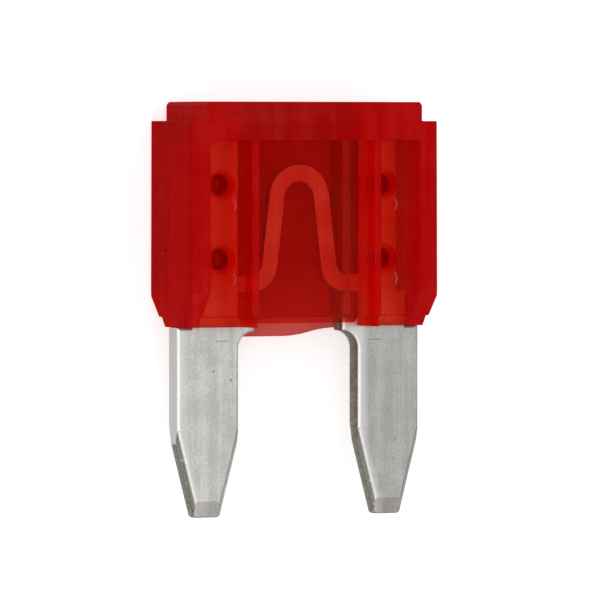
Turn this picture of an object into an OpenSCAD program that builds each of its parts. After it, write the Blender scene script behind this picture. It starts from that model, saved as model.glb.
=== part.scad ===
// Small plug-in blade fuse. A stamped metal element, two blades joined by a thin fusible link,
// sits in a one-piece moulded housing of clear red plastic, open underneath. Four stakes of the
// housing's own plastic, pressed in from both faces, run through holes in the element's tabs.
// Each piece is drawn standing on the blade tips, with its front towards -Y, and is then laid
// on its back face, which is how the loose fuse comes to rest.

/* [Housing] */
// Width across the side faces
housing_w = 10.9; // [10.4:0.1:12.4]
// Thickness across the broad faces
housing_t = 3.94; // [3.6:0.02:4.6]
// Height from the bottom edge to the shoulders
body_h = 8.11; // [7.8:0.01:9.4]
// Width of the narrower cap on top
cap_w = 9.54; // [9.1:0.02:10.2]
// Height of the cap above the shoulders
cap_h = 0.76; // [0.5:0.02:1.4]
// Bevel on the cap's top edges
cap_bevel = 0.14; // [0.05:0.01:0.3]
// Width, on the broad face, of the bevel down each upright corner
corner_x = 0.37; // [0.1:0.01:0.5]
// Depth, on the side face, of the bevel down each upright corner
corner_y = 0.19; // [0.05:0.01:0.4]
// Mould draft: how far each side leans in by the shoulders
side_draft = 0.03; // [0:0.01:0.08]

/* [Lead-in and rim] */
// Height of the small rim at the bottom edge
rim_h = 0.4; // [0.3:0.02:0.6]
// Step by which the rim stands in from the walls above it
rim_step = 0.08; // [0.04:0.01:0.1]
// Lean of the rim's broad sides over its height
rim_lean = 0.13; // [0.02:0.01:0.2]
// Height of the lead-in slopes above the rim
lead_h = 1.02; // [0.7:0.02:1.6]
// Depth of the lead-in slope on each broad face
lead_depth = 0.82; // [0.4:0.02:0.9]
// Depth of the lead-in slope on each side face
lead_side = 0.05; // [0:0.01:0.1]

/* [Recesses] */
// Height of the plain band between the recesses and the shoulders
band_h = 0.75; // [0.5:0.01:1.2]
// Width of the window over the link, at the face
window_w = 5.06; // [4.6:0.02:5.2]
// Thickness of the plastic pane in the window
window_pane = 0.33; // [0.2:0.01:0.5]
// Width of the rib between the window and each groove
rib_w = 0.32; // [0.26:0.01:0.4]
// Width of the groove over each tab, at the face
groove_w = 1.79; // [1.5:0.01:1.9]
// Thickness of the plastic pane in the grooves
groove_pane = 0.36; // [0.25:0.01:0.5]
// Lean of the recess walls from the face to the floor
recess_draft = 0.05; // [0:0.01:0.08]

/* [Bottom lips] */
// How far the front pane stops short of the bottom edge
front_lip_rise = 0.14; // [0.05:0.01:0.25]
// Radius of the front lip's lower corners
front_lip_r = 0.24; // [0.1:0.01:0.25]
// How far the back lip hangs below the bottom edge
back_lip_drop = 0.4; // [0.2:0.02:0.6]
// Height of the wave by which the back lip rises to one side
back_lip_wave = 0.32; // [0.1:0.02:0.5]
// Length of that wave across the fuse
back_lip_run = 2.4; // [1.6:0.1:2.8]
// Length of the level, low stretch beside the wave
back_lip_low = 2.18; // [1:0.02:2.2]

/* [Stakes] */
// Height of the lower stakes above the bottom edge
stake_low = 2.67; // [2.4:0.01:3.2]
// Distance between the lower and the upper stakes
stake_pitch = 2.93; // [2:0.01:3.3]
// Mouth of the dimple that each stake leaves
dimple_mouth = 1.2; // [1:0.02:1.3]
// Floor of that dimple
dimple_floor = 0.5; // [0.3:0.02:0.6]
// Distance from the tab's inner edge to the stakes
stake_out = 0.93; // [0.85:0.01:1]
// Hole in the tab that the stake fills
stake_hole = 0.86; // [0.76:0.02:1]

/* [Element] */
// Thickness of the metal
metal_t = 0.79; // [0.7:0.01:0.9]
// Length of the blades below the housing
blade_len = 7.48; // [7:0.02:9]
// Width of each blade
blade_w = 2.69; // [2.5:0.01:2.8]
// Gap between the blades
blade_gap = 5.28; // [5.1:0.02:5.5]
// Width of a blade's tip
tip_w = 1.14; // [0.9:0.02:1.6]
// Height of the taper above the tip
tip_taper = 2.9; // [2:0.05:4]
// Height of the coined bevel at the tip
tip_bevel = 0.65; // [0.3:0.01:1]
// Thickness left at the very end of the tip
tip_edge = 0.4; // [0.25:0.01:0.6]
// Width of the coined bevel along the tapers
taper_bevel = 0.2; // [0.1:0.01:0.3]
// Radius of the tip's corners
tip_r = 0.18; // [0.05:0.01:0.3]
// How far the metal reaches in from each blade at the housing's mouth
foot_reach = 0.7; // [0.4:0.02:1]
// Height of that foot above the bottom edge
foot_h = 0.34; // [0.2:0.02:0.38]
// How far the foot stands down out of the housing
foot_drop = 0.18; // [0.1:0.01:0.3]
// Width of the tab that carries the stake holes
tab_w = 1.66; // [1.6:0.01:1.9]
// Width of the tab's root, inside the housing's mouth
root_w = 2.06; // [1.9:0.01:2.1]
// Height of the tab's root above the bottom edge
root_h = 1.37; // [1:0.01:1.6]
// How far the tab stops below the cap's top
tab_below_top = 0.6; // [0.3:0.02:1]

/* [Link] */
// Width of the fusible strip
link_w = 0.69; // [0.5:0.01:0.8]
// Thickness of the fusible strip
link_t = 0.25; // [0.15:0.01:0.4]
// Height of the link's feet above the bottom edge
link_foot = 1.71; // [1.5:0.01:2.2]
// Height of the link's crown above its feet, along the middle of the strip
link_rise = 4.35; // [3.2:0.01:4.5]
// Radius of the crown, along the middle of the strip
crown_r = 0.98; // [0.8:0.01:1.1]
// Radius of the bend above each foot, along the middle of the strip
bend_r = 0.8; // [0.6:0.01:0.9]

/* [Fit] */
// Clearance round the metal in the housing
fit_gap = 0.03; // [0.01:0.01:0.05]

/* [Hidden] */
$fn = 64;
// Spare length by which a cutting shape runs past what it cuts
past = 1;
// Heights above the blade tips
z_bottom = blade_len;
z_rim = z_bottom + rim_h;
z_lead = z_rim + lead_h;
z_shoulder = z_bottom + body_h;
z_recess = z_shoulder - band_h;
z_top = z_shoulder + cap_h;
// Half sizes of the housing
half_w = housing_w / 2;
half_t = housing_t / 2;
rim_half_w = half_w - lead_side - rim_step;
rim_half_t = half_t - lead_depth - rim_step;
// The slot in the housing that takes the metal
slot_half_t = metal_t / 2 + fit_gap;
window_floor = slot_half_t + window_pane;
groove_floor = slot_half_t + groove_pane;
groove_in = window_w / 2 + rib_w;
groove_out = groove_in + groove_w;
// The element's edges, measured out from the middle
blade_in = blade_gap / 2;
blade_mid = blade_in + blade_w / 2;
foot_in = blade_in - foot_reach;
stake_x = blade_in + stake_out;
tab_top = z_top - tab_below_top;
stake_heights = [z_bottom + stake_low, z_bottom + stake_low + stake_pitch];
stake_pin = stake_hole - 2 * fit_gap;
dimple_depth = groove_pane + fit_gap;
// The link's path along the middle of its strip. The lean of its legs closes the path from
// the crown to the bend, whatever their radii and heights are.
foot_z = z_bottom + link_foot;
crown_z = foot_z + link_rise - crown_r;
bend_x = blade_in - bend_r * 2 / 3;
bend_z = foot_z + bend_r;
leg_span = norm([bend_x, crown_z - bend_z]);
leg_len = sqrt(leg_span * leg_span - (crown_r + bend_r) * (crown_r + bend_r));
leg_lean = atan2(bend_x, crown_z - bend_z) - atan2(crown_r + bend_r, leg_len);
arc_steps = 20;

// Lays a piece that was drawn standing on its tips on its back face, with the middle of its
// length over the origin
module laid() translate([0, -z_top / 2, half_t]) rotate([-90, 0, 0]) children();

// Extrudes an outline of widths and heights through the thickness, centred on y
module through(thickness) rotate([90, 0, 0]) linear_extrude(thickness, center = true) children();

// Extrudes an outline of depths and heights across the width, centred on x
module across(width) rotate([90, 0, 90]) linear_extrude(width, center = true) children();

// Repeats a shape on the left and the right, and on the front and the back
module both_sides() for (side = [0, 1]) mirror([side, 0, 0]) children();
module both_faces() for (face = [0, 1]) mirror([0, face, 0]) children();

// An outline that is symmetric about the upright axis, from the points of its right side
module mirrored_outline(right) {
  count = len(right);
  left = [for (i = [count - 1:-1:0]) [-right[i][0], right[i][1]]];
  polygon(concat(right, left));
}

// Plan of a block of the housing, with its upright corners bevelled
module plan(w, t) {
  mirrored_outline([
    [w / 2 - corner_x, -t / 2], [w / 2, corner_y - t / 2],
    [w / 2, t / 2 - corner_y], [w / 2 - corner_x, t / 2]
  ]);
}

// The body above the rim: bevelled corners, a little draft, and a lead-in slope all round
module body_block() {
  intersection() {
    translate([0, 0, z_rim]) linear_extrude(z_shoulder - z_rim) plan(housing_w, housing_t);
    through(housing_t + past)
      mirrored_outline([
        [half_w - lead_side, z_rim], [half_w, z_lead], [half_w - side_draft, z_shoulder]
      ]);
    across(housing_w + past)
      mirrored_outline([
        [half_t - lead_depth, z_rim], [half_t, z_lead], [half_t, z_shoulder]
      ]);
  }
}

// The rim that steps in below the body
module rim_block() {
  intersection() {
    through(housing_t)
      mirrored_outline([[rim_half_w - rim_step, z_bottom], [rim_half_w, z_rim]]);
    across(housing_w)
      mirrored_outline([[rim_half_t - rim_lean, z_bottom], [rim_half_t, z_rim]]);
  }
}

// The cap, bevelled round its top
module cap_block() {
  intersection() {
    translate([0, 0, z_shoulder]) linear_extrude(cap_h) plan(cap_w, housing_t);
    through(housing_t + past)
      mirrored_outline([
        [cap_w / 2, z_shoulder], [cap_w / 2, z_top - cap_bevel], [cap_w / 2 - cap_bevel, z_top]
      ]);
    across(cap_w + past)
      mirrored_outline([
        [half_t, z_shoulder], [half_t, z_top - cap_bevel], [half_t - cap_bevel, z_top]
      ]);
  }
}

// The rib on each side of the window runs at full depth past the lead-in slope. Its foot steps
// in like the rim.
module rib(step, z0, z1) {
  translate([window_w / 2, step - half_t, z0])
    cube([rib_w - step, half_t - step - slot_half_t, z1 - z0]);
}

// What a recess takes away, from past the face down to its floor
module recess(x0, x1, floor_y, z0, z1) {
  translate([0, 0, z0]) linear_extrude(z1 - z0)
    polygon([
      [x0, -half_t - past], [x1, -half_t - past], [x1, -half_t],
      [x1 - recess_draft, -floor_y], [x0 + recess_draft, -floor_y], [x0, -half_t]
    ]);
}

// Window and grooves of the front face, with the rim's step carried round inside them
module face_recesses() {
  half_window = window_w / 2;
  recess(-half_window, half_window, window_floor, z_rim, z_recess);
  recess(-half_window - rim_step, half_window + rim_step, window_floor - rim_step,
         z_bottom - past, z_rim);
  both_sides() {
    recess(groove_in, groove_out, groove_floor, z_rim, z_recess);
    recess(groove_in - rim_step, groove_out + rim_step, groove_floor - rim_step,
           z_bottom - past, z_rim);
  }
}

// The hollow for the metal: a wide chamber that is open below, and over each tab a slot that
// runs on through the cap, where a test probe reaches the metal
module chamber() {
  translate([-blade_in - root_w - fit_gap, -slot_half_t, z_bottom - past])
    cube([2 * (blade_in + root_w + fit_gap), 2 * slot_half_t, z_recess - z_bottom + past]);
  both_sides()
    translate([blade_in - fit_gap, -slot_half_t, z_recess - past])
      cube([tab_w + 2 * fit_gap, 2 * slot_half_t, z_top - z_recess + 2 * past]);
}

// Places its child at each stake, lying along the thickness
module at_stakes() {
  both_sides()
    for (z = stake_heights)
      translate([stake_x, 0, z]) rotate([90, 0, 0]) children();
}

// The stake dimples of both faces, which narrow from the groove's floor to the metal's face
module dimples() {
  mouth_floor = groove_floor - dimple_depth;
  at_stakes()
    both_ends() {
      translate([0, 0, mouth_floor])
        cylinder(h = dimple_depth, d1 = dimple_floor, d2 = dimple_mouth);
      translate([0, 0, groove_floor]) cylinder(h = past, d = dimple_mouth);
    }
}
module both_ends() for (end = [0, 1]) mirror([0, 0, end]) children();

// The front pane's lower edge stops short of the rim, with rounded corners beside the ribs
module front_lip_cut() {
  half_gap = (window_w + rim_step) / 2;
  half_lip = half_gap - front_lip_r / 2;
  lip_z = z_bottom + front_lip_rise;
  translate([0, -(half_t + slot_half_t) / 2, 0])
    through(half_t - slot_half_t)
      difference() {
        translate([-half_gap, z_bottom - past]) square([2 * half_gap, past + rim_h]);
        translate([front_lip_r - half_lip, lip_z])
          square([2 * (half_lip - front_lip_r), past]);
        both_lip_corners(half_lip - front_lip_r, lip_z + front_lip_r);
        translate([-half_lip, lip_z + front_lip_r]) square([2 * half_lip, past]);
      }
}
module both_lip_corners(x, z) for (side = [-1, 1]) translate([side * x, z]) circle(front_lip_r);

// The back pane's lip hangs lower, and rises in a shallow wave towards the right
module back_lip() {
  half_lip = window_w / 2;
  low = z_bottom - back_lip_drop;
  wave_r = (back_lip_run * back_lip_run + back_lip_wave * back_lip_wave) / (4 * back_lip_wave);
  wave_start = back_lip_low - half_lip;
  wave_mid = wave_start + back_lip_run / 2;
  wave_end = wave_start + back_lip_run;
  wall = window_floor - rim_step - slot_half_t;
  translate([0, slot_half_t + wall / 2, 0])
    through(wall) {
      translate([-half_lip, low]) square([wave_start + half_lip, z_rim - low]);
      intersection() {
        translate([wave_start, low + wave_r]) circle(wave_r, $fn = 180);
        translate([wave_start, low]) square([back_lip_run / 2, z_rim - low]);
      }
      difference() {
        translate([wave_mid, low]) square([half_lip - wave_mid, z_rim - low]);
        translate([wave_end, low + back_lip_wave - wave_r]) circle(wave_r, $fn = 180);
        translate([wave_end, low]) square([half_lip - wave_end, back_lip_wave]);
      }
    }
}

module housing() {
  color([0.72, 0.05, 0.04])
    laid()
      difference() {
        union() {
          difference() {
            union() {
              body_block();
              rim_block();
            }
            both_faces() face_recesses();
          }
          cap_block();
          both_faces()
            both_sides() {
              rib(0, z_rim, z_recess);
              rib(rim_step, z_bottom, z_rim);
            }
          back_lip();
        }
        difference() {
          chamber();
          at_stakes() cylinder(h = housing_t, d = stake_pin, center = true);
        }
        dimples();
        front_lip_cut();
      }
}

// Cuts the sharp corner at p between two edges that leave it along u and v
module corner_cut(p, u, v, r) {
  angle = acos(u * v);
  inward = (u + v) / norm(u + v);
  reach = r / tan(angle / 2);
  centre = p + inward * r / sin(angle / 2);
  difference() {
    polygon([centre, p + u * reach, p + u * reach - inward, p - inward * 2,
             p + v * reach - inward, p + v * reach]);
    translate(centre) circle(r);
  }
}

// Outline of one blade, its foot and its tab, on the right side
module blade_outline() {
  half_tip = tip_w / 2;
  half_blade = blade_w / 2;
  taper = [half_blade - half_tip, tip_taper];
  up = taper / norm(taper);
  difference() {
    union() {
      translate([blade_mid, 0])
        mirrored_outline([[half_tip, 0], [half_blade, tip_taper], [half_blade, z_bottom]]);
      translate([foot_in, z_bottom - foot_drop])
        square([foot_reach + blade_w / 2, foot_drop + foot_h]);
      translate([foot_in, z_bottom - foot_drop - foot_reach])
        square([foot_reach + blade_w / 2, foot_reach + foot_drop]);
      translate([blade_in, z_bottom - past]) square([root_w, past + root_h]);
      translate([blade_in, z_bottom]) square([tab_w, tab_top - z_bottom]);
    }
    translate([foot_in, z_bottom - foot_drop - foot_reach]) circle(foot_reach);
    corner_cut([blade_mid + half_tip, 0], [-1, 0], up, tip_r);
    corner_cut([blade_mid - half_tip, 0], [1, 0], [-up[0], up[1]], tip_r);
  }
}

// What a bevel takes off the front face: nothing at the distance reach inside an edge that lies
// on the x axis, and depth at the edge itself
module bevel_section(reach, depth) {
  face = -metal_t / 2;
  polygon([
    [reach, face], [-reach, face + 2 * depth], [-past, face + 2 * depth], [-past, face - past],
    [reach, face - past]
  ]);
}

// The coined bevels of one tip: both faces lean in towards its end and along its tapers
module tip_bevels() {
  depth = (metal_t - tip_edge) / 2;
  lean = atan2((blade_w - tip_w) / 2, tip_taper);
  run = tip_taper / cos(lean) + 2 * taper_bevel / sin(lean);
  translate([blade_mid, 0, 0])
    both_faces() {
      translate([-blade_w, 0, 0])
        rotate([0, 90, 0]) linear_extrude(2 * blade_w)
          mirror([1, 0, 0]) bevel_section(tip_bevel, depth);
      both_sides()
        translate([tip_w / 2, 0, 0])
          rotate([0, lean, 0])
            translate([0, 0, -past]) linear_extrude(past + run)
              mirror([1, 0, 0]) bevel_section(taper_bevel, depth);
    }
}

// Points along an arc round a centre, from angle a to angle b
function arc(centre, r, a, b) = [
  for (i = [0.5:arc_steps]) centre + r * [cos(a + (b - a) * i / arc_steps),
                                          sin(a + (b - a) * i / arc_steps)]
];

// The link's outline: over the crown and down the legs, round the bends and into the blades. One
// edge of the strip runs at a distance outside the path, the other inside it.
module link_outline() {
  crown = [0, crown_z];
  bend = [bend_x, bend_z];
  half_strip = link_w / 2;
  foot_end = blade_in + tab_w / 4;
  mirrored_outline(concat(
    arc(crown, crown_r + half_strip, 90, leg_lean),
    arc(bend, bend_r - half_strip, 180 + leg_lean, 270),
    [[foot_end, foot_z + half_strip], [foot_end, foot_z - half_strip]],
    arc(bend, bend_r + half_strip, 270, 180 + leg_lean),
    arc(crown, crown_r - half_strip, leg_lean, 90)
  ));
}

// One stamping: blades, tabs and link, with the link coined thin and level with the front face
module fuse_element() {
  color([0.74, 0.74, 0.72])
    laid() {
      both_sides()
        difference() {
          through(metal_t) blade_outline();
          tip_bevels();
          for (z = stake_heights)
            translate([stake_x, 0, z]) rotate([90, 0, 0])
              cylinder(h = housing_t, d = stake_hole, center = true);
        }
      translate([0, (link_t - metal_t) / 2, 0])
        through(link_t) link_outline();
    }
}

housing();
fuse_element();
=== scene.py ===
# %% [markdown]
# # A small plug-in blade fuse
# The real fuse is made of two pieces. A metal element is stamped from a plated strip: two blades,
# joined by a thin link that melts when too much current flows. A housing of clear red plastic is
# moulded in one piece and pushed over the element, and four stakes of its own plastic hold it.
# This lesson dresses both pieces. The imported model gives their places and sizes, so it is loaded
# first and never changed. X runs across the fuse, Y from the tips of the blades to the cap, and Z
# out of the front face: the fuse lies on its back.

# %% The frame
import math

import bmesh
import bpy
from mathutils import Matrix, Vector


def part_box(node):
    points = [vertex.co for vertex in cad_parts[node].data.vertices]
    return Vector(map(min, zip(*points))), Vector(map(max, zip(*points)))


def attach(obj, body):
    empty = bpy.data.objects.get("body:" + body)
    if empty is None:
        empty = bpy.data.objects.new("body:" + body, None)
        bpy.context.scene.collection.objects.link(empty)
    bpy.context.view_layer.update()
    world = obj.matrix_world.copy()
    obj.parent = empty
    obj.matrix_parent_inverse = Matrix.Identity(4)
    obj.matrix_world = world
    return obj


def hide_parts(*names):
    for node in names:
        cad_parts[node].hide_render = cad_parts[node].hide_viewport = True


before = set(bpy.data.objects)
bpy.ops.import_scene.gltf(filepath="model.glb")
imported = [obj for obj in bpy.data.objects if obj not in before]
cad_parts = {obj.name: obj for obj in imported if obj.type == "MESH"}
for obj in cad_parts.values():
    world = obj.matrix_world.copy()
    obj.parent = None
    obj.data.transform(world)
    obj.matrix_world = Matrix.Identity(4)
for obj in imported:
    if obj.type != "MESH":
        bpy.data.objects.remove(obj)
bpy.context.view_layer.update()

mm = 0.001
housing_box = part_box("housing")
element_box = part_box("fuse_element")
tip_y = element_box[0].y
cap_y = housing_box[1].y
front_z = housing_box[1].z
middle_z = front_z / 2
metal_front = element_box[1].z
print("nodes", sorted(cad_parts), "length in mm", round((cap_y - tip_y) / mm, 2))

# %% [markdown]
# ## Camera
# The photograph was taken with a long lens, a little to the left of the fuse and nearly level with
# its middle. As the fuse lies on its back here, the camera looks down on it. Its place is a turn
# about the fuse's length and a small tilt towards the blades, at a distance of about 0.3 m.

# %% The photograph's view
view_turn = math.radians(26.82)
view_tilt = math.radians(1.22)
view_distance = 302.48 * mm
view_shift = 0.218 * mm
view_height = 14.955 * mm
lens_mm = 459.1

level_right = Vector((math.cos(view_turn), 0, math.sin(view_turn)))
level_ahead = Vector((math.sin(view_turn), 0, -math.cos(view_turn)))
along = Vector((0, 1, 0))
ahead = math.cos(view_tilt) * level_ahead - math.sin(view_tilt) * along
upward = math.sin(view_tilt) * level_ahead + math.cos(view_tilt) * along
middle = Vector((0, tip_y, middle_z))
eye = middle - view_distance * level_ahead + view_shift * level_right + view_height * along

camera_data = bpy.data.cameras.new("camera")
camera_data.sensor_width = 36
camera_data.lens = lens_mm
camera_data.clip_start = 0.01
camera_data.clip_end = 10
camera = bpy.data.objects.new("camera", camera_data)
bpy.context.scene.collection.objects.link(camera)
axes = Matrix((level_right, upward, -ahead)).transposed().to_4x4()
camera.matrix_world = Matrix.Translation(eye) @ axes
bpy.context.scene.camera = camera
print("camera at", [round(c / mm) for c in eye], "mm")

# %% [markdown]
# ## Light
# Shiny metal shows what stands round it more than it shows its own colour. So the studio is a
# pale dome that is brighter on the left, with a large soft panel on that side and a narrow strip
# light. Edges that are rounded towards the left catch the strip as a thin white line, and edges
# that face right stay darker.

# %% Soft lamps


def panel(name, place, width, height, watts):
    """A rectangular lamp that faces the fuse, with its height along the fuse."""
    lamp = bpy.data.lights.new(name, "AREA")
    lamp.shape = "RECTANGLE"
    lamp.size = width
    lamp.size_y = height
    lamp.energy = watts
    holder = bpy.data.objects.new(name, lamp)
    bpy.context.scene.collection.objects.link(holder)
    holder.location = place
    holder.rotation_mode = "QUATERNION"
    holder.rotation_quaternion = (-Vector(place)).to_track_quat("-Z", "Y")
    print(name, "gives", watts, "W")


panel("panel_left", (-0.50, 0.05, 0.34), 0.5, 0.7, 0.8)
panel("panel_front", (0.28, 0.02, 0.55), 0.55, 0.7, 0.12)
panel("strip", (-0.16, 0.02, 0.47), 0.06, 0.34, 0.2)

# %% [markdown]
# ## Studio dome and floor
# The photograph's background is plain white. The dome and the floor are pale, and a Light Path
# node lifts what the camera sees of them to white. Rays that metal or clear plastic send on see a
# bright studio as well, while the light that falls on the fuse stays at a plain level. The floor
# keeps the fuse's shadow, because its glow is only added to its own colour.

# %% Studio dome
dome_light = 0.5
dome_left = 1.05
dome_right = 0.55


def math_node(nodes, links, operation, first, second=0):
    """A Math node. Each of its inputs is a number or a socket."""
    node = nodes.new("ShaderNodeMath")
    node.operation = operation
    for socket, value in zip(node.inputs, (first, second)):
        if isinstance(value, (int, float)):
            socket.default_value = value
        else:
            links.new(value, socket)
    return node.outputs[0]


def limit_node(nodes, links, value, low, high, at_low, at_high):
    """A Map Range node that runs from one value to another between two limits."""
    node = nodes.new("ShaderNodeMapRange")
    node.inputs["From Min"].default_value = low
    node.inputs["From Max"].default_value = high
    node.inputs["To Min"].default_value = at_low
    node.inputs["To Max"].default_value = at_high
    links.new(value, node.inputs["Value"])
    return node.outputs["Result"]


def seen_through(nodes, links, level):
    """A level for rays that metal or glass sends on, 1 for the camera, 0 for all others."""
    rays = nodes.new("ShaderNodeLightPath").outputs
    sent_on = math_node(nodes, links, "MAXIMUM", rays["Is Glossy Ray"],
                        rays["Is Transmission Ray"])
    lowered = math_node(nodes, links, "MULTIPLY", sent_on, level)
    return math_node(nodes, links, "MAXIMUM", rays["Is Camera Ray"], lowered), rays


world = bpy.data.worlds.new("studio")
world.use_nodes = True
nodes = world.node_tree.nodes
links = world.node_tree.links
background = nodes["Background"]
background.inputs["Color"].default_value = (1, 1, 1, 1)
direction = nodes.new("ShaderNodeTexCoord")
split = nodes.new("ShaderNodeSeparateXYZ")
links.new(direction.outputs["Generated"], split.inputs[0])
shade = limit_node(nodes, links, split.outputs["X"], -1, 1, dome_left, dome_right)
seen, rays = seen_through(nodes, links, 1.0)
for_glass = nodes.new("ShaderNodeMix")
for_glass.data_type = "FLOAT"
for_glass.inputs["A"].default_value = dome_light
links.new(seen, for_glass.inputs["Factor"])
links.new(shade, for_glass.inputs["B"])
for_camera = nodes.new("ShaderNodeMix")
for_camera.data_type = "FLOAT"
for_camera.inputs["B"].default_value = 1.0
links.new(rays["Is Camera Ray"], for_camera.inputs["Factor"])
links.new(for_glass.outputs["Result"], for_camera.inputs["A"])
links.new(for_camera.outputs["Result"], background.inputs["Strength"])
bpy.context.scene.world = world
bpy.context.scene.view_settings.view_transform = "Standard"
print("dome from", dome_left, "on the left to", dome_right, "on the right")

# %% Pale floor
floor_size = 3.0
floor_colour = (0.86, 0.86, 0.86, 1)
floor_glow = 0.57
floor_sent_on = 0.263
floor_mesh = bpy.data.meshes.new("floor")
half = floor_size / 2
floor_mesh.from_pydata([(-half, -half, 0), (half, -half, 0), (half, half, 0), (-half, half, 0)],
                       [], [(0, 1, 2, 3)])
floor = bpy.data.objects.new("floor", floor_mesh)
bpy.context.scene.collection.objects.link(floor)

floor_material = bpy.data.materials.new("pale_floor")
floor_material.use_nodes = True
nodes = floor_material.node_tree.nodes
links = floor_material.node_tree.links
plain = nodes["Principled BSDF"]
plain.inputs["Base Color"].default_value = floor_colour
plain.inputs["Roughness"].default_value = 0.9
plain.inputs["Specular IOR Level"].default_value = 0.0
plain.inputs["Emission Color"].default_value = (1, 1, 1, 1)
seen = seen_through(nodes, links, floor_sent_on)[0]
glow = math_node(nodes, links, "MULTIPLY", seen, floor_glow)
links.new(glow, plain.inputs["Emission Strength"])
floor_mesh.materials.append(floor_material)
print("floor", floor_size, "m across")

# %% [markdown]
# ## Marks on a surface
# Neither piece is perfectly even. The strip was rolled and then stamped, so the metal has fine
# lines along the blades and small pits. The plastic flowed up through its mould, which leaves faint
# lines the same way, and dust sits on it. Both need the same three patterns, at other sizes, so
# these are one node group: streaks that are drawn out along a grain, specks, and soft clouds. The
# sizes are given in millimetres, because Object coordinates are the real sizes of the part.

# %% Group of surface marks


def divide_vector(nodes, links, vector, by):
    """A vector divided by another vector or by a value."""
    node = nodes.new("ShaderNodeVectorMath")
    node.operation = "DIVIDE"
    links.new(vector, node.inputs[0])
    links.new(by, node.inputs[1])
    return node.outputs[0]


marks = bpy.data.node_groups.new("surface_marks", "ShaderNodeTree")
for title, kind, value in (("Grain", "NodeSocketVector", (0.05, 3, 0.05)),
                           ("Speck Spacing", "NodeSocketFloat", 0.8),
                           ("Speck Size", "NodeSocketFloat", 0.05),
                           ("Cloud Size", "NodeSocketFloat", 1.2)):
    socket = marks.interface.new_socket(title, in_out="INPUT", socket_type=kind)
    socket.default_value = value
for title in ("Streaks", "Specks", "Clouds"):
    marks.interface.new_socket(title, in_out="OUTPUT", socket_type="NodeSocketFloat")

nodes = marks.nodes
links = marks.links
given = nodes.new("NodeGroupInput")
result = nodes.new("NodeGroupOutput")
place = nodes.new("ShaderNodeTexCoord")
in_mm = nodes.new("ShaderNodeVectorMath")
in_mm.operation = "SCALE"
in_mm.inputs["Scale"].default_value = 1 / mm
links.new(place.outputs["Object"], in_mm.inputs[0])

streaks = nodes.new("ShaderNodeTexNoise")
streaks.inputs["Scale"].default_value = 1.0
streaks.inputs["Detail"].default_value = 4.0
streaks.inputs["Roughness"].default_value = 0.6
links.new(divide_vector(nodes, links, in_mm.outputs[0], given.outputs["Grain"]),
          streaks.inputs["Vector"])
links.new(streaks.outputs["Fac"], result.inputs["Streaks"])

specks = nodes.new("ShaderNodeTexVoronoi")
specks.inputs["Scale"].default_value = 1.0
links.new(divide_vector(nodes, links, in_mm.outputs[0], given.outputs["Speck Spacing"]),
          specks.inputs["Vector"])
reach = math_node(nodes, links, "DIVIDE", given.outputs["Speck Size"],
                  given.outputs["Speck Spacing"])
closeness = math_node(nodes, links, "DIVIDE", specks.outputs["Distance"], reach)
spot = limit_node(nodes, links, closeness, 0.5, 1.0, 1.0, 0.0)
chance = nodes.new("ShaderNodeSeparateColor")
links.new(specks.outputs["Color"], chance.inputs[0])
chosen = limit_node(nodes, links, chance.outputs[0], 0.45, 0.55, 0.0, 1.0)
links.new(math_node(nodes, links, "MULTIPLY", spot, chosen), result.inputs["Specks"])

clouds = nodes.new("ShaderNodeTexNoise")
clouds.inputs["Scale"].default_value = 1.0
clouds.inputs["Detail"].default_value = 3.0
links.new(divide_vector(nodes, links, in_mm.outputs[0], given.outputs["Cloud Size"]),
          clouds.inputs["Vector"])
links.new(clouds.outputs["Fac"], result.inputs["Clouds"])


def place_marks(nodes, grain, spacing, size, cloud):
    """The group of surface marks in a material, with its own sizes in millimetres."""
    node = nodes.new("ShaderNodeGroup")
    node.node_tree = marks
    node.inputs["Grain"].default_value = grain
    node.inputs["Speck Spacing"].default_value = spacing
    node.inputs["Speck Size"].default_value = size
    node.inputs["Cloud Size"].default_value = cloud
    return node.outputs


def blend(nodes, links, share, first, second):
    """Mixes two colours. Each is a colour or a socket, and so is the share."""
    node = nodes.new("ShaderNodeMix")
    node.data_type = "RGBA"
    for socket, value in zip((node.inputs[0], node.inputs[6], node.inputs[7]),
                             (share, first, second)):
        if isinstance(value, (int, float, tuple)):
            socket.default_value = value
        else:
            links.new(value, socket)
    return node.outputs[2]


def shade_by(nodes, links, share, colour, shade):
    """Multiplies a colour by a shade, to a share."""
    mixed = blend(nodes, links, share, colour, shade)
    mixed.node.blend_type = "MULTIPLY"
    return mixed


def read_share(nodes, name):
    """Reads a value that the mesh carries on each face."""
    node = nodes.new("ShaderNodeAttribute")
    node.attribute_name = name
    return node.outputs["Fac"]


def bump_node(nodes, links, height, depth):
    """A Bump node for marks of a given depth in millimetres."""
    node = nodes.new("ShaderNodeBump")
    node.inputs["Strength"].default_value = 1.0
    node.inputs["Distance"].default_value = depth * mm
    links.new(height, node.inputs["Height"])
    return node.outputs["Normal"]


def distance_from(nodes, links, value, centre):
    """How far a value lies from a centre, on either side of it."""
    return math_node(nodes, links, "ABSOLUTE",
                     math_node(nodes, links, "SUBTRACT", value, centre))


def scale_and_add(nodes, links, value, factor, added):
    """A value times a factor, plus another value."""
    total = math_node(nodes, links, "MULTIPLY_ADD", value, factor)
    links.new(added, total.node.inputs[2])
    return total


def along_axis(nodes, links, axis):
    """A point's place along one axis, in millimetres."""
    point = nodes.new("ShaderNodeTexCoord")
    split = nodes.new("ShaderNodeSeparateXYZ")
    links.new(point.outputs["Object"], split.inputs[0])
    return math_node(nodes, links, "DIVIDE", split.outputs[axis], mm)


print("group", marks.name, "gives", [s.name for s in result.inputs if s.name])

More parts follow.
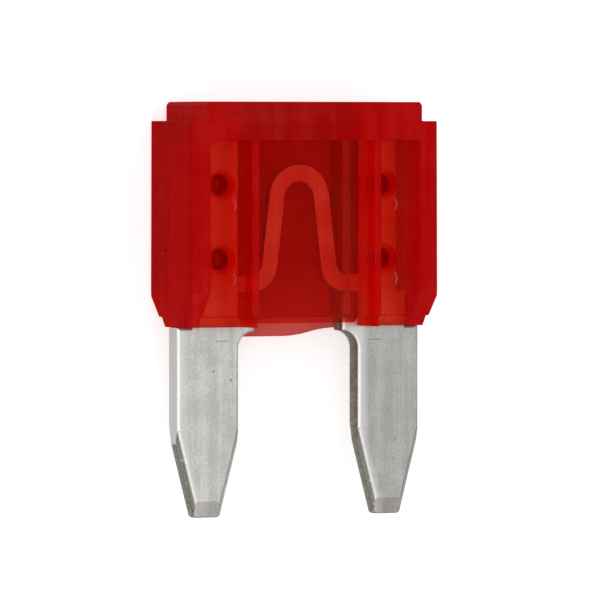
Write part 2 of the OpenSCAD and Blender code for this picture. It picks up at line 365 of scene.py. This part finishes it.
# %% [markdown]
# ## Clear red plastic
# The housing is one colour, but it doesn't look so. Thin panes let much of the light through, and
# thick walls hold most of it back and scatter some. Real plastic does this over its depth. Here a
# tint value on each face says how much plastic lies behind it, and a second node group turns that
# into a colour: the colour of one pane, raised to the power of the tint. The index of refraction
# is set lower than that of real plastic, because inner mirror images would hide the element, which
# the photograph shows clearly.

# %% Group of plastic depth
depth_tint = bpy.data.node_groups.new("depth_tint", "ShaderNodeTree")
socket = depth_tint.interface.new_socket("Pane Colour", in_out="INPUT",
                                         socket_type="NodeSocketColor")
socket.default_value = (0.93, 0.12, 0.08, 1)
socket = depth_tint.interface.new_socket("Tint", in_out="INPUT", socket_type="NodeSocketFloat")
socket.default_value = 1.0
depth_tint.interface.new_socket("Colour", in_out="OUTPUT", socket_type="NodeSocketColor")
nodes = depth_tint.nodes
links = depth_tint.links
given = nodes.new("NodeGroupInput")
result = nodes.new("NodeGroupOutput")
parts = nodes.new("ShaderNodeSeparateColor")
links.new(given.outputs["Pane Colour"], parts.inputs[0])
whole = nodes.new("ShaderNodeCombineColor")
for channel in range(3):
    deeper = math_node(nodes, links, "POWER", parts.outputs[channel], given.outputs["Tint"])
    links.new(deeper, whole.inputs[channel])
links.new(whole.outputs[0], result.inputs["Colour"])

# %% [markdown]
# ## Six looks of one red plastic
# The moulding is clearest in its window, and milky in its walls. Grooves, ribs and stakes lie
# between, and the back of a groove is seen through the front, so each of these has a material of
# its own. All six use the two groups above. The plastic is tinted a little lighter near the mouth.
# Each dimple has a dark core of painted shade, where the stake's plastic fills the hole in the tab
# and no bright metal lies behind it. The painted shade lies a little to the right of the dimple's
# middle, as the photograph shows it.

# %% Places on the moulding
tip_mm = tip_y / mm
middle_mm = middle_z / mm
bottom_edge = tip_mm + 7.48
stake_x = 3.57
stake_ys = (tip_mm + 10.15, tip_mm + 13.08)
dimple_reach = 0.61
# Where the painted shade in each dimple lies and how far it reaches, in millimetres.
shade_right = 0.2
shade_reach = 0.12
shade_fade = 0.5


def dimple_painted_shade(nodes, links):
    """1 at the painted shade in the bottom of each stake's dimple, falling to 0 at its rim."""
    middle_of_ys = sum(stake_ys) / 2
    squares = []
    for axis, centre, reach in (("X", shade_right, stake_x),
                                ("Y", middle_of_ys, stake_ys[1] - middle_of_ys)):
        from_middle = distance_from(nodes, links, along_axis(nodes, links, axis), centre)
        from_stake = distance_from(nodes, links, from_middle, reach)
        squares.append(math_node(nodes, links, "POWER", from_stake, 2))
    distance = math_node(nodes, links, "SQRT", math_node(nodes, links, "ADD", *squares))
    return limit_node(nodes, links, distance, shade_reach, shade_fade, 1.0, 0.0)


print("bottom edge at", round(bottom_edge, 2), "stakes at", [round(y, 2) for y in stake_ys], "mm")

# %% Six looks of one red plastic
# A set of marks is the grain, the specks' spacing and size, and the clouds' size, in millimetres.
flow_marks = ((0.12, 9.0, 0.12), 0.9, 0.035, 1.6)
band_marks = ((0.45, 12.0, 0.45), 1.7, 0.05, 2.6)
# The tint is lowered near the mouth, so the plastic there is lighter.
mouth_reach = 2.2
# How much deeper the painted shade in the dimples is tinted.
dimple_shade_tint = 2.0
dust_colour = (0.9, 0.45, 0.38, 1)
dust_share = 0.4
ripple_depth = 0.0008


def red_plastic(name, pane_colour, clearness, roughness, bending, shade_depth=0.0):
    """Red plastic that is clear to a share and milky for the rest."""
    material = bpy.data.materials.new(name)
    material.use_nodes = True
    nodes = material.node_tree.nodes
    links = material.node_tree.links
    shell = nodes["Principled BSDF"]
    shell.inputs["IOR"].default_value = bending
    shell.inputs["Transmission Weight"].default_value = clearness
    shell.inputs["Roughness"].default_value = roughness
    shell.inputs["Specular Tint"].default_value = (1, 0.08, 0.06, 1)
    flow = place_marks(nodes, *flow_marks)
    bands = place_marks(nodes, *band_marks)
    height = along_axis(nodes, links, "Y")
    changes = ((flow["Streaks"], 0.3, 0.7, 0.94, 1.06),
               (flow["Clouds"], 0.3, 0.7, 0.88, 1.12),
               (bands["Streaks"], 0.3, 0.7, 0.88, 1.12),
               (height, bottom_edge, bottom_edge + mouth_reach, 0.84, 1.0))
    depth = read_share(nodes, "tint")
    for pattern, low, high, thin, thick in changes:
        share = limit_node(nodes, links, pattern, low, high, thin, thick)
        depth = math_node(nodes, links, "MULTIPLY", depth, share)
    # Painted shade: the dimples' cores are tinted deeper.
    if shade_depth:
        depth = scale_and_add(nodes, links, dimple_painted_shade(nodes, links), shade_depth, depth)
    tint = nodes.new("ShaderNodeGroup")
    tint.node_tree = depth_tint
    tint.inputs["Pane Colour"].default_value = (*pane_colour, 1)
    links.new(depth, tint.inputs["Tint"])
    dust = math_node(nodes, links, "MAXIMUM", flow["Specks"], bands["Specks"])
    dusty = math_node(nodes, links, "MULTIPLY", dust, dust_share)
    colour = blend(nodes, links, dusty, tint.outputs["Colour"], dust_colour)
    links.new(colour, shell.inputs["Base Color"])
    ripple = scale_and_add(nodes, links, flow["Clouds"], 4.0, flow["Streaks"])
    links.new(bump_node(nodes, links, ripple, ripple_depth), shell.inputs["Normal"])
    return material


clear_red = red_plastic("red_window", (0.825, 0.085, 0.06), 1.0, 0.12, 1.12)
groove_red = red_plastic("red_grooves", (0.99, 0.06, 0.025), 0.88, 0.25, 1.12)
back_red = red_plastic("red_back_grooves", (0.99, 0.10, 0.05), 0.35, 0.3, 1.12)
milky_red = red_plastic("red_walls", (0.905, 0.20, 0.20), 0.5, 0.3, 1.05)
rib_red = red_plastic("red_ribs", (0.93, 0.12, 0.08), 0.75, 0.2, 1.06)
stake_red = red_plastic("red_stakes", (0.95, 0.10, 0.05), 0.8, 0.2, 1.12, dimple_shade_tint)
plastics = [milky_red, clear_red, groove_red, back_red, rib_red, stake_red]
print("plastics", [material.name for material in plastics])

# %% [markdown]
# ## Plated metal
# The strip was plated before it was stamped. Its faces are pale grey, with the fine lines of the
# rolling mill along the blades and soft darker clouds. The right blade is darker than the left
# below the housing, and what the housing covers is still fresh. The element is one piece, so all of
# this is one material. Each of the next steps changes the colour that the step before it has made.

# %% Plated faces
rolled_marks = ((0.035, 2.6, 0.035), 0.72, 0.075, 0.9)
fine_marks = ((0.07, 0.11, 0.07), 0.42, 0.045, 0.2)
broad_marks = ((0.4, 9.0, 0.4), 2.2, 0.16, 2.4)
plate_pale = (0.83, 0.83, 0.80, 1)
plate_dull = (0.62, 0.62, 0.60, 1)
plate_fresh = (0.90, 0.89, 0.87, 1)
right_blade_tone = (0.78, 0.78, 0.77, 1)
fresh_share = 0.8
mouth_fade = bottom_edge + 0.4

plated = bpy.data.materials.new("plated_metal")
plated.use_nodes = True
nodes = plated.node_tree.nodes
links = plated.node_tree.links
metal = nodes["Principled BSDF"]
metal.inputs["Metallic"].default_value = 1.0

rolled = place_marks(nodes, *rolled_marks)
fine = place_marks(nodes, *fine_marks)
broad = place_marks(nodes, *broad_marks)
dullness = 0.0
for pattern, low, high, share in ((rolled["Streaks"], 0.3, 0.7, 0.35),
                                  (rolled["Clouds"], 0.35, 0.7, 0.45),
                                  (fine["Streaks"], 0.3, 0.7, 0.8),
                                  (broad["Streaks"], 0.35, 0.65, 0.6)):
    dullness = math_node(nodes, links, "ADD", dullness,
                         limit_node(nodes, links, pattern, low, high, -share / 3, share))
face_colour = blend(nodes, links, dullness, plate_pale, plate_dull)

across = along_axis(nodes, links, "X")
length = along_axis(nodes, links, "Y")
right_blade = limit_node(nodes, links, across, 1.0, 2.6, 0.0, 1.0)
below = limit_node(nodes, links, length, bottom_edge, mouth_fade, 1.0, 0.0)
# Below the housing the right blade is made darker than the left.
right_darker = math_node(nodes, links, "MULTIPLY", right_blade, below)
face_colour = shade_by(nodes, links, right_darker, face_colour, right_blade_tone)
inside = limit_node(nodes, links, length, bottom_edge, mouth_fade, 0.0, fresh_share)
face_colour = blend(nodes, links, inside, face_colour, plate_fresh)
print("plated faces from", plate_pale[:3], "to", plate_dull[:3])

# %% [markdown]
# ## Painted edge highlights, score marks and pits
# Along the left edge of each blade a pale band is painted on the plating: a painted highlight
# beside the rolled edge, on the side the light comes from. A short dark score crosses each blade
# near the housing. Both are found from Object coordinates. The distance to a blade's left edge is
# counted from the outer side of the left blade, less one pitch on the right blade, and less what
# the taper has taken off. The pits are the specks of the marks. The coined tips and the soft roll
# of the front edges are a little duller, where values on the mesh say so.

# %% Painted edge highlights, score marks and pits
plate_sheen = (0.90, 0.90, 0.90, 1)
pit_colour = (0.22, 0.21, 0.20, 1)
coined_shade = (0.80, 0.765, 0.74, 1)
roll_shade = (0.93, 0.92, 0.91, 1)
blade_outer = element_box[1].x / mm
blade_pitch = 7.97
taper_top = tip_mm + 2.9
taper_run = 0.775
score_x = 3.4
score_y = tip_mm + 6.93

on_right = math_node(nodes, links, "GREATER_THAN", across, 0)
from_outer = math_node(nodes, links, "ADD", across, blade_outer)
from_edge = scale_and_add(nodes, links, on_right, -blade_pitch, from_outer)
taper_in = limit_node(nodes, links, length, tip_mm, taper_top, taper_run, 0.0)
from_edge = math_node(nodes, links, "SUBTRACT", from_edge, taper_in)
# Painted highlight: a pale band along the left edge of each blade.
edge_sheen = limit_node(nodes, links, from_edge, 0.12, 0.5, 0.8, 0.0)
edge_sheen = math_node(nodes, links, "MULTIPLY", edge_sheen, below)
face_colour = blend(nodes, links, edge_sheen, face_colour, plate_sheen)

off_line = distance_from(nodes, links, length, score_y)
off_middle = distance_from(nodes, links, math_node(nodes, links, "ABSOLUTE", across), score_x)
score = math_node(nodes, links, "MULTIPLY",
                  limit_node(nodes, links, off_line, 0.015, 0.035, 0.6, 0.0),
                  limit_node(nodes, links, off_middle, 0.15, 0.4, 1.0, 0.0))
for spots, share in ((rolled["Specks"], 0.75), (fine["Specks"], 0.4), (broad["Specks"], 0.35),
                     (score, 1.0)):
    pitted = math_node(nodes, links, "MULTIPLY", spots, share)
    face_colour = blend(nodes, links, pitted, face_colour, pit_colour)
roll = read_share(nodes, "roll")
face_colour = shade_by(nodes, links, read_share(nodes, "coined"), face_colour, coined_shade)
face_colour = shade_by(nodes, links, roll, face_colour, roll_shade)
print("scores", score_x, "mm from the middle, tapers", round(taper_top - tip_mm, 2), "mm long")

# %% [markdown]
# ## Bare sides
# Where the punch cut through the strip, the bare alloy shows. It is brown and grey in patches, with
# lines across its thickness, darker towards the front, where the punch went in, and paler on the
# tapers. The bevels along the left of the tapers were dragged dark in their lower part. Values on
# the mesh say where the strip was cut and where these bevels are.

# %% Bare sides
sheared_marks = ((0.05, 0.07, 0.9), 0.25, 0.09, 0.35)
bare_brown = (0.38, 0.28, 0.20, 1)
bare_grey = (0.46, 0.44, 0.36, 1)
bare_taper = (0.50, 0.51, 0.45, 1)
bare_dark = (0.13, 0.125, 0.11, 1)
bare_grit = (0.55, 0.53, 0.46, 1)

depth = along_axis(nodes, links, "Z")
sheared = place_marks(nodes, *sheared_marks)
mottle = limit_node(nodes, links, sheared["Clouds"], 0.35, 0.65, 0.0, 1.0)
on_taper = limit_node(nodes, links, length, taper_top - 0.1, taper_top + 0.1, 0.7, 0.0)
near_front = limit_node(nodes, links, depth, middle_mm - 0.25, middle_mm + 0.2, 0.0, 0.6)
shear_lines = limit_node(nodes, links, sheared["Streaks"], 0.35, 0.7, 0.0, 0.6)
grit = math_node(nodes, links, "MULTIPLY", sheared["Specks"], 0.5)
bare = bare_brown
for share, colour in ((mottle, bare_grey), (on_taper, bare_taper), (near_front, bare_dark),
                      (shear_lines, bare_dark), (grit, bare_grit)):
    bare = blend(nodes, links, share, bare, colour)
dragged = limit_node(nodes, links, depth, middle_mm + 0.32, middle_mm + 0.38, 1.0, 0.0)
dragged = math_node(nodes, links, "MULTIPLY", dragged, read_share(nodes, "slope"))
cut = math_node(nodes, links, "MAXIMUM", read_share(nodes, "cut"), dragged)
links.new(blend(nodes, links, cut, face_colour, bare), metal.inputs["Base Color"])
print("bare sides from", bare_brown[:3], "to", bare_dark[:3])

# %% Gloss and relief of the metal
cut_rough = 0.25
roll_rough = 0.2
pit_height = -1.5
relief_depth = 0.004

rough = limit_node(nodes, links, fine["Streaks"], 0.3, 0.7, 0.28, 0.42)
rough = scale_and_add(nodes, links, cut, cut_rough, rough)
rough = scale_and_add(nodes, links, roll, roll_rough, rough)
links.new(rough, metal.inputs["Roughness"])
relief = scale_and_add(nodes, links, rolled["Specks"], pit_height, rolled["Streaks"])
relief = math_node(nodes, links, "ADD", relief, fine["Streaks"])
links.new(bump_node(nodes, links, relief, relief_depth), metal.inputs["Normal"])
print("metal", plated.name, "has", len(nodes), "nodes")

# %% [markdown]
# ## Rounded edges
# No moulded or stamped edge is perfectly sharp, and it is the rounding that catches the light. A
# Bevel modifier rounds the edges, and each edge carries a weight, so that one modifier can give
# a broad roll to one edge and a fine one to another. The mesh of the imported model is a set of
# loose triangles, so a copy of it is merged first, and very short edges are closed up, because
# rounding would fold over there. The modifier puts its own faces in a second material slot. That
# tells flat faces from rounded ones, so that the flat ones can keep their own normals.

# %% A plain mesh with firm normals
alike = math.cos(math.radians(15))


def plain_mesh(draft, name):
    """Turns an object with modifiers into one without them, and removes the draft."""
    seen = draft.evaluated_get(bpy.context.evaluated_depsgraph_get())
    mesh = bpy.data.meshes.new_from_object(seen)
    mesh.name = name
    bpy.data.objects.remove(draft)
    piece = bpy.data.objects.new(name, mesh)
    bpy.context.scene.collection.objects.link(piece)
    return piece


def firm_normals(mesh):
    """Keeps flat faces flat in their shading, and lets the rounded edges between them turn."""
    flats = {vertex.index: [] for vertex in mesh.vertices}
    rounds = {vertex.index: [] for vertex in mesh.vertices}
    for face in mesh.polygons:
        group = rounds if face.material_index == 1 else flats
        for index in face.vertices:
            group[index].append(face.normal * face.area)
    normals = []
    for face in mesh.polygons:
        for index in face.vertices:
            near = flats[index]
            if face.material_index == 0:
                near = [push for push in near if push.normalized().dot(face.normal) > alike]
            near = near or rounds[index]
            total = sum(near, Vector())
            normals.append(total.normalized() if total.length else face.normal)
    mesh.normals_split_custom_set(normals)


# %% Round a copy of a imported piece
merge_reach = 1e-7
too_short = 0.04 * mm
flat_turn = math.radians(0.5)
edge_turn = math.radians(8)
round_steps = 4


def lone_short_edges(shape):
    """Edges too short to be rounded, except those of an arc, which meet other short ones."""
    short = {edge for edge in shape.edges if edge.calc_length() < too_short}
    alone = []
    for edge in short:
        near = {other for vertex in edge.verts for other in vertex.link_edges}
        if len(near & short) == 1:
            alone.append(edge)
    return alone


def rounded_copy(node, name, widest, weigh):
    """A plain mesh object: a node's mesh with its edges rounded by what weigh gives them."""
    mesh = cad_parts[node].data.copy()
    mesh.name = name
    shape = bmesh.new()
    shape.from_mesh(mesh)
    bmesh.ops.remove_doubles(shape, verts=shape.verts, dist=merge_reach)
    bmesh.ops.dissolve_limit(shape, angle_limit=flat_turn, verts=shape.verts, edges=shape.edges)
    bmesh.ops.collapse(shape, edges=lone_short_edges(shape))
    weight = shape.edges.layers.float.new("bevel_weight_edge")
    for edge in shape.edges:
        if edge.calc_face_angle(0) > edge_turn:
            edge[weight] = weigh(edge) / widest
    shape.to_mesh(mesh)
    shape.free()
    mesh.materials.clear()
    mesh.materials.append(None)  # slot 0, for the flat faces
    mesh.materials.append(None)  # slot 1, for the rounded ones
    for face in mesh.polygons:
        face.use_smooth = True
        face.material_index = 0
    draft = bpy.data.objects.new(name + "_draft", mesh)
    bpy.context.scene.collection.objects.link(draft)
    bevel = draft.modifiers.new("edges", "BEVEL")
    bevel.width = widest
    bevel.segments = round_steps
    bevel.limit_method = "WEIGHT"
    bevel.use_clamp_overlap = False
    bevel.material = 1
    piece = plain_mesh(draft, name)
    low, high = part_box(node)
    for vertex in piece.data.vertices:
        vertex.co = [min(max(c, a), b) for c, a, b in zip(vertex.co, low, high)]
    firm_normals(piece.data)
    piece.data.materials.clear()
    print(name, len(piece.data.polygons), "faces")
    return piece


def mark_faces(piece, name, measure):
    """Stores a value on each face of a piece, for its material to read."""
    layer = piece.data.attributes.new(name, "FLOAT", "FACE")
    for face in piece.data.polygons:
        layer.data[face.index].value = measure(face.center / mm, face.normal)


# %% [markdown]
# ## Housing
# The housing's recesses are mirrored on its two faces. Their floors are thin panes: the window over
# the link and a groove over each tab. Ribs stand between these, four stakes run through, and lips
# hang below the bottom edge. The rest is wall. Each face is given one of the six plastics and its
# tint by where it lies, in millimetres from the middle line, the bottom edge and the middle of the
# thickness. A value with two numbers is for the front and the back.

# %% Zones of the moulding
recess_top = bottom_edge + 7.36
rib_from = 2.5
rib_to = 2.88
pane_reach = 0.8
chamber_reach = 0.5
lip_tints = (2.4, 2.0)
# The back of the window is tinted far deeper than its front: painted shade, for the darkness seen
# behind the link.
window_tints = (1.1, 4.2)
rib_tints = (2.2, 0.8)
groove_tint = 1.0
chamber_tint = 0.3
# The dimples are tinted deeper than the grooves round them: painted shade in the hollows.
stake_tint = 1.6
side_tint = 4.0
side_from = 5.0
wall_tint = 3.0


def is_pane(centre, normal):
    """True for the floors of the recesses, and for the chamber's faces behind them."""
    near = abs(centre.z - middle_mm) <= pane_reach and centre.y <= recess_top
    return near and abs(normal.z) >= 0.9


def is_rib(centre):
    """True for the ribs on both sides of the two windows."""
    outside = abs(centre.z - middle_mm) > pane_reach - 0.1 and centre.y < recess_top
    return outside and rib_from < abs(centre.x) < rib_to


def is_stake(centre):
    """True in the dimples that the stakes leave."""
    if abs(centre.z - middle_mm) > pane_reach - 0.05:
        return False
    return any(math.hypot(abs(centre.x) - stake_x, centre.y - y) < dimple_reach for y in stake_ys)


def zone(centre, normal):
    """The plastic of a face and its tint, counted in front panes that the light crosses."""
    back = 0 if centre.z > middle_mm else 1
    if centre.y < bottom_edge - 0.02:
        return milky_red, lip_tints[back]
    if is_stake(centre):
        return stake_red, stake_tint
    if is_pane(centre, normal):
        if abs(centre.z - middle_mm) < chamber_reach:
            return groove_red, chamber_tint
        if abs(centre.x) < rib_from:
            return clear_red, window_tints[back]
        return (groove_red, back_red)[back], groove_tint
    if is_rib(centre):
        return rib_red, rib_tints[back]
    if abs(centre.x) > side_from and abs(normal.x) > 0.5:
        return milky_red, side_tint
    return milky_red, wall_tint


print("tint", zone(Vector((0, 0, middle_mm + 0.6)), Vector((0, 0, 1)))[1], "in the window")

# %% Housing
fine_round = 0.03 * mm
housing = rounded_copy("housing", "clear_housing", fine_round, lambda edge: fine_round)
mark_faces(housing, "tint", lambda centre, normal: zone(centre, normal)[1])
for material in plastics:
    housing.data.materials.append(material)
for face in housing.data.polygons:
    face.material_index = plastics.index(zone(face.center / mm, face.normal)[0])
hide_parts("housing")
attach(housing, "root")

# %% [markdown]
# ## Hooks of flash beside the dimples
# A warm punch pressed the ends of the stakes down, and pushed a thin hook of plastic out beside
# each dimple. All eight are alike, so Geometry Nodes draws one as an arc with a round section and
# sets it on eight points. The hooks are tinted much paler than the plastic round them, a painted
# highlight along each hook.

# %% Flash hooks
hook_radius = 0.33
hook_thick = 0.03
hook_start = math.radians(-38)
hook_sweep = math.radians(85)
hook_right = 0.25
hook_down = 0.8
hook_glint_tint = 0.9
arc_steps = 10
ring_steps = 8


def hook_points(depth):
    """Points beside the dimples of the front face and, turned about, of the back face."""
    spots = []
    for side in (1, -1):
        for x in (-stake_x, stake_x):
            for y in stake_ys:
                spots.append(((x + side * hook_right) * mm, (y - hook_down) * mm,
                              middle_z + side * depth))
    return spots


def hook_tree():
    """Geometry Nodes: an arc with a round section on each point, turned to its face."""
    tree = bpy.data.node_groups.new("flash_hooks", "GeometryNodeTree")
    tree.interface.new_socket("Geometry", in_out="INPUT", socket_type="NodeSocketGeometry")
    tree.interface.new_socket("Material", in_out="INPUT", socket_type="NodeSocketMaterial")
    tree.interface.new_socket("Geometry", in_out="OUTPUT", socket_type="NodeSocketGeometry")
    nodes = tree.nodes
    links = tree.links
    given = nodes.new("NodeGroupInput")
    result = nodes.new("NodeGroupOutput")
    arc = nodes.new("GeometryNodeCurveArc")
    arc.inputs["Resolution"].default_value = arc_steps
    arc.inputs["Radius"].default_value = hook_radius * mm
    arc.inputs["Start Angle"].default_value = hook_start
    arc.inputs["Sweep Angle"].default_value = hook_sweep
    ring = nodes.new("GeometryNodeCurvePrimitiveCircle")
    ring.inputs["Resolution"].default_value = ring_steps
    ring.inputs["Radius"].default_value = hook_thick * mm
    tube = nodes.new("GeometryNodeCurveToMesh")
    tube.inputs["Fill Caps"].default_value = True
    links.new(arc.outputs["Curve"], tube.inputs["Curve"])
    links.new(ring.outputs["Curve"], tube.inputs["Profile Curve"])
    spot = nodes.new("GeometryNodeInputPosition")
    split = nodes.new("ShaderNodeSeparateXYZ")
    links.new(spot.outputs["Position"], split.inputs[0])
    behind = math_node(nodes, links, "LESS_THAN", split.outputs["Z"], middle_z)
    turn = math_node(nodes, links, "MULTIPLY", behind, math.pi)
    turned = nodes.new("ShaderNodeCombineXYZ")
    links.new(turn, turned.inputs["Y"])
    placed = nodes.new("GeometryNodeInstanceOnPoints")
    links.new(given.outputs["Geometry"], placed.inputs["Points"])
    links.new(tube.outputs["Mesh"], placed.inputs["Instance"])
    links.new(turned.outputs[0], placed.inputs["Rotation"])
    real = nodes.new("GeometryNodeRealizeInstances")
    links.new(placed.outputs["Instances"], real.inputs["Geometry"])
    painted = nodes.new("GeometryNodeSetMaterial")
    links.new(real.outputs["Geometry"], painted.inputs["Geometry"])
    links.new(given.outputs["Material"], painted.inputs["Material"])
    links.new(painted.outputs["Geometry"], result.inputs["Geometry"])
    return tree


groove_zs = [face.center.z for face in housing.data.polygons
             if plastics[face.material_index] == groove_red and face.normal.z > 0.99]
hook_depth = max(groove_zs) - middle_z
seeds = bpy.data.meshes.new("hook_points")
seeds.from_pydata(hook_points(hook_depth), [], [])
draft = bpy.data.objects.new("hooks_draft", seeds)
bpy.context.scene.collection.objects.link(draft)
step = draft.modifiers.new("hooks", "NODES")
step.node_group = hook_tree()
for item in step.node_group.interface.items_tree:
    if item.name == "Material":
        step[item.identifier] = milky_red
hooks = plain_mesh(draft, "flash_hooks")
for face in hooks.data.polygons:
    face.use_smooth = True
# Painted highlight: the hooks' pale tint.
mark_faces(hooks, "tint", lambda centre, normal: hook_glint_tint)
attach(hooks, "root")
print("hooks stand at", round(hook_depth / mm, 2), "mm from the middle", len(hooks.data.polygons))

# %% [markdown]
# ## Fuse element
# The punch pulls the strip's face down as it enters, so the front edges of the blades have a broad
# soft roll, while the back edges stay sharp. The long outer sides are the edges of the plated strip
# itself. All other sides were cut, and show the bare alloy.

# %% Places on the fuse element
housing_mouth = bottom_edge + 0.3
roll_width = 0.13 * mm
taper_roll = 0.07 * mm
hair = 1e-6
covered_cut = 0.1
plated_cut = 0.22
slant_from = 0.4


def element_round(edge):
    """A broad roll on the front edges of the blades, a finer one on all others."""
    centre = (edge.verts[0].co + edge.verts[1].co) / 2
    flat = all(abs(vertex.co.z - metal_front) < hair for vertex in edge.verts)
    if flat and centre.y < housing_mouth * mm:
        return roll_width if centre.y > taper_top * mm + hair else taper_roll
    return fine_round


def cut_share(centre, normal):
    """1 where the punch has cut the strip, and little on the plated outer sides."""
    if centre.y > housing_mouth:
        return covered_cut
    if normal.y < -0.3 and centre.y < tip_mm + 0.1:
        return 1.0
    if abs(normal.z) > slant_from:
        return 0.0
    if abs(centre.x) > blade_outer - 0.02 and centre.y > taper_top:
        return plated_cut
    return 1.0


def is_slanted(centre, normal):
    """True on the coined bevels of the tips and tapers."""
    return slant_from < abs(normal.z) < 0.985 and centre.y < taper_top + 0.3


def coined_share(centre, normal):
    """1 on the coined bevels that face the tips or the right."""
    return 1.0 if is_slanted(centre, normal) and normal.x > -0.3 else 0.0


def slope_share(centre, normal):
    """1 on the bevels along the left sides of the tapers, which the punch dragged dark."""
    return 1.0 if is_slanted(centre, normal) and normal.x < -0.3 else 0.0


def roll_share(centre, normal):
    """1 on the soft roll of the blades' front edges, above the tapers."""
    return 1.0 if 0.1 < normal.z < 0.99 and centre.y > taper_top else 0.0


print("front edges roll over", round(roll_width / mm, 2), "mm, on the tapers",
      round(taper_roll / mm, 2))

# %% Fuse element
element = rounded_copy("fuse_element", "stamped_element", roll_width, element_round)
for name, share in (("cut", cut_share), ("coined", coined_share), ("slope", slope_share),
                    ("roll", roll_share)):
    mark_faces(element, name, share)
element.data.materials.append(plated)
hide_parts("fuse_element")
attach(element, "root")
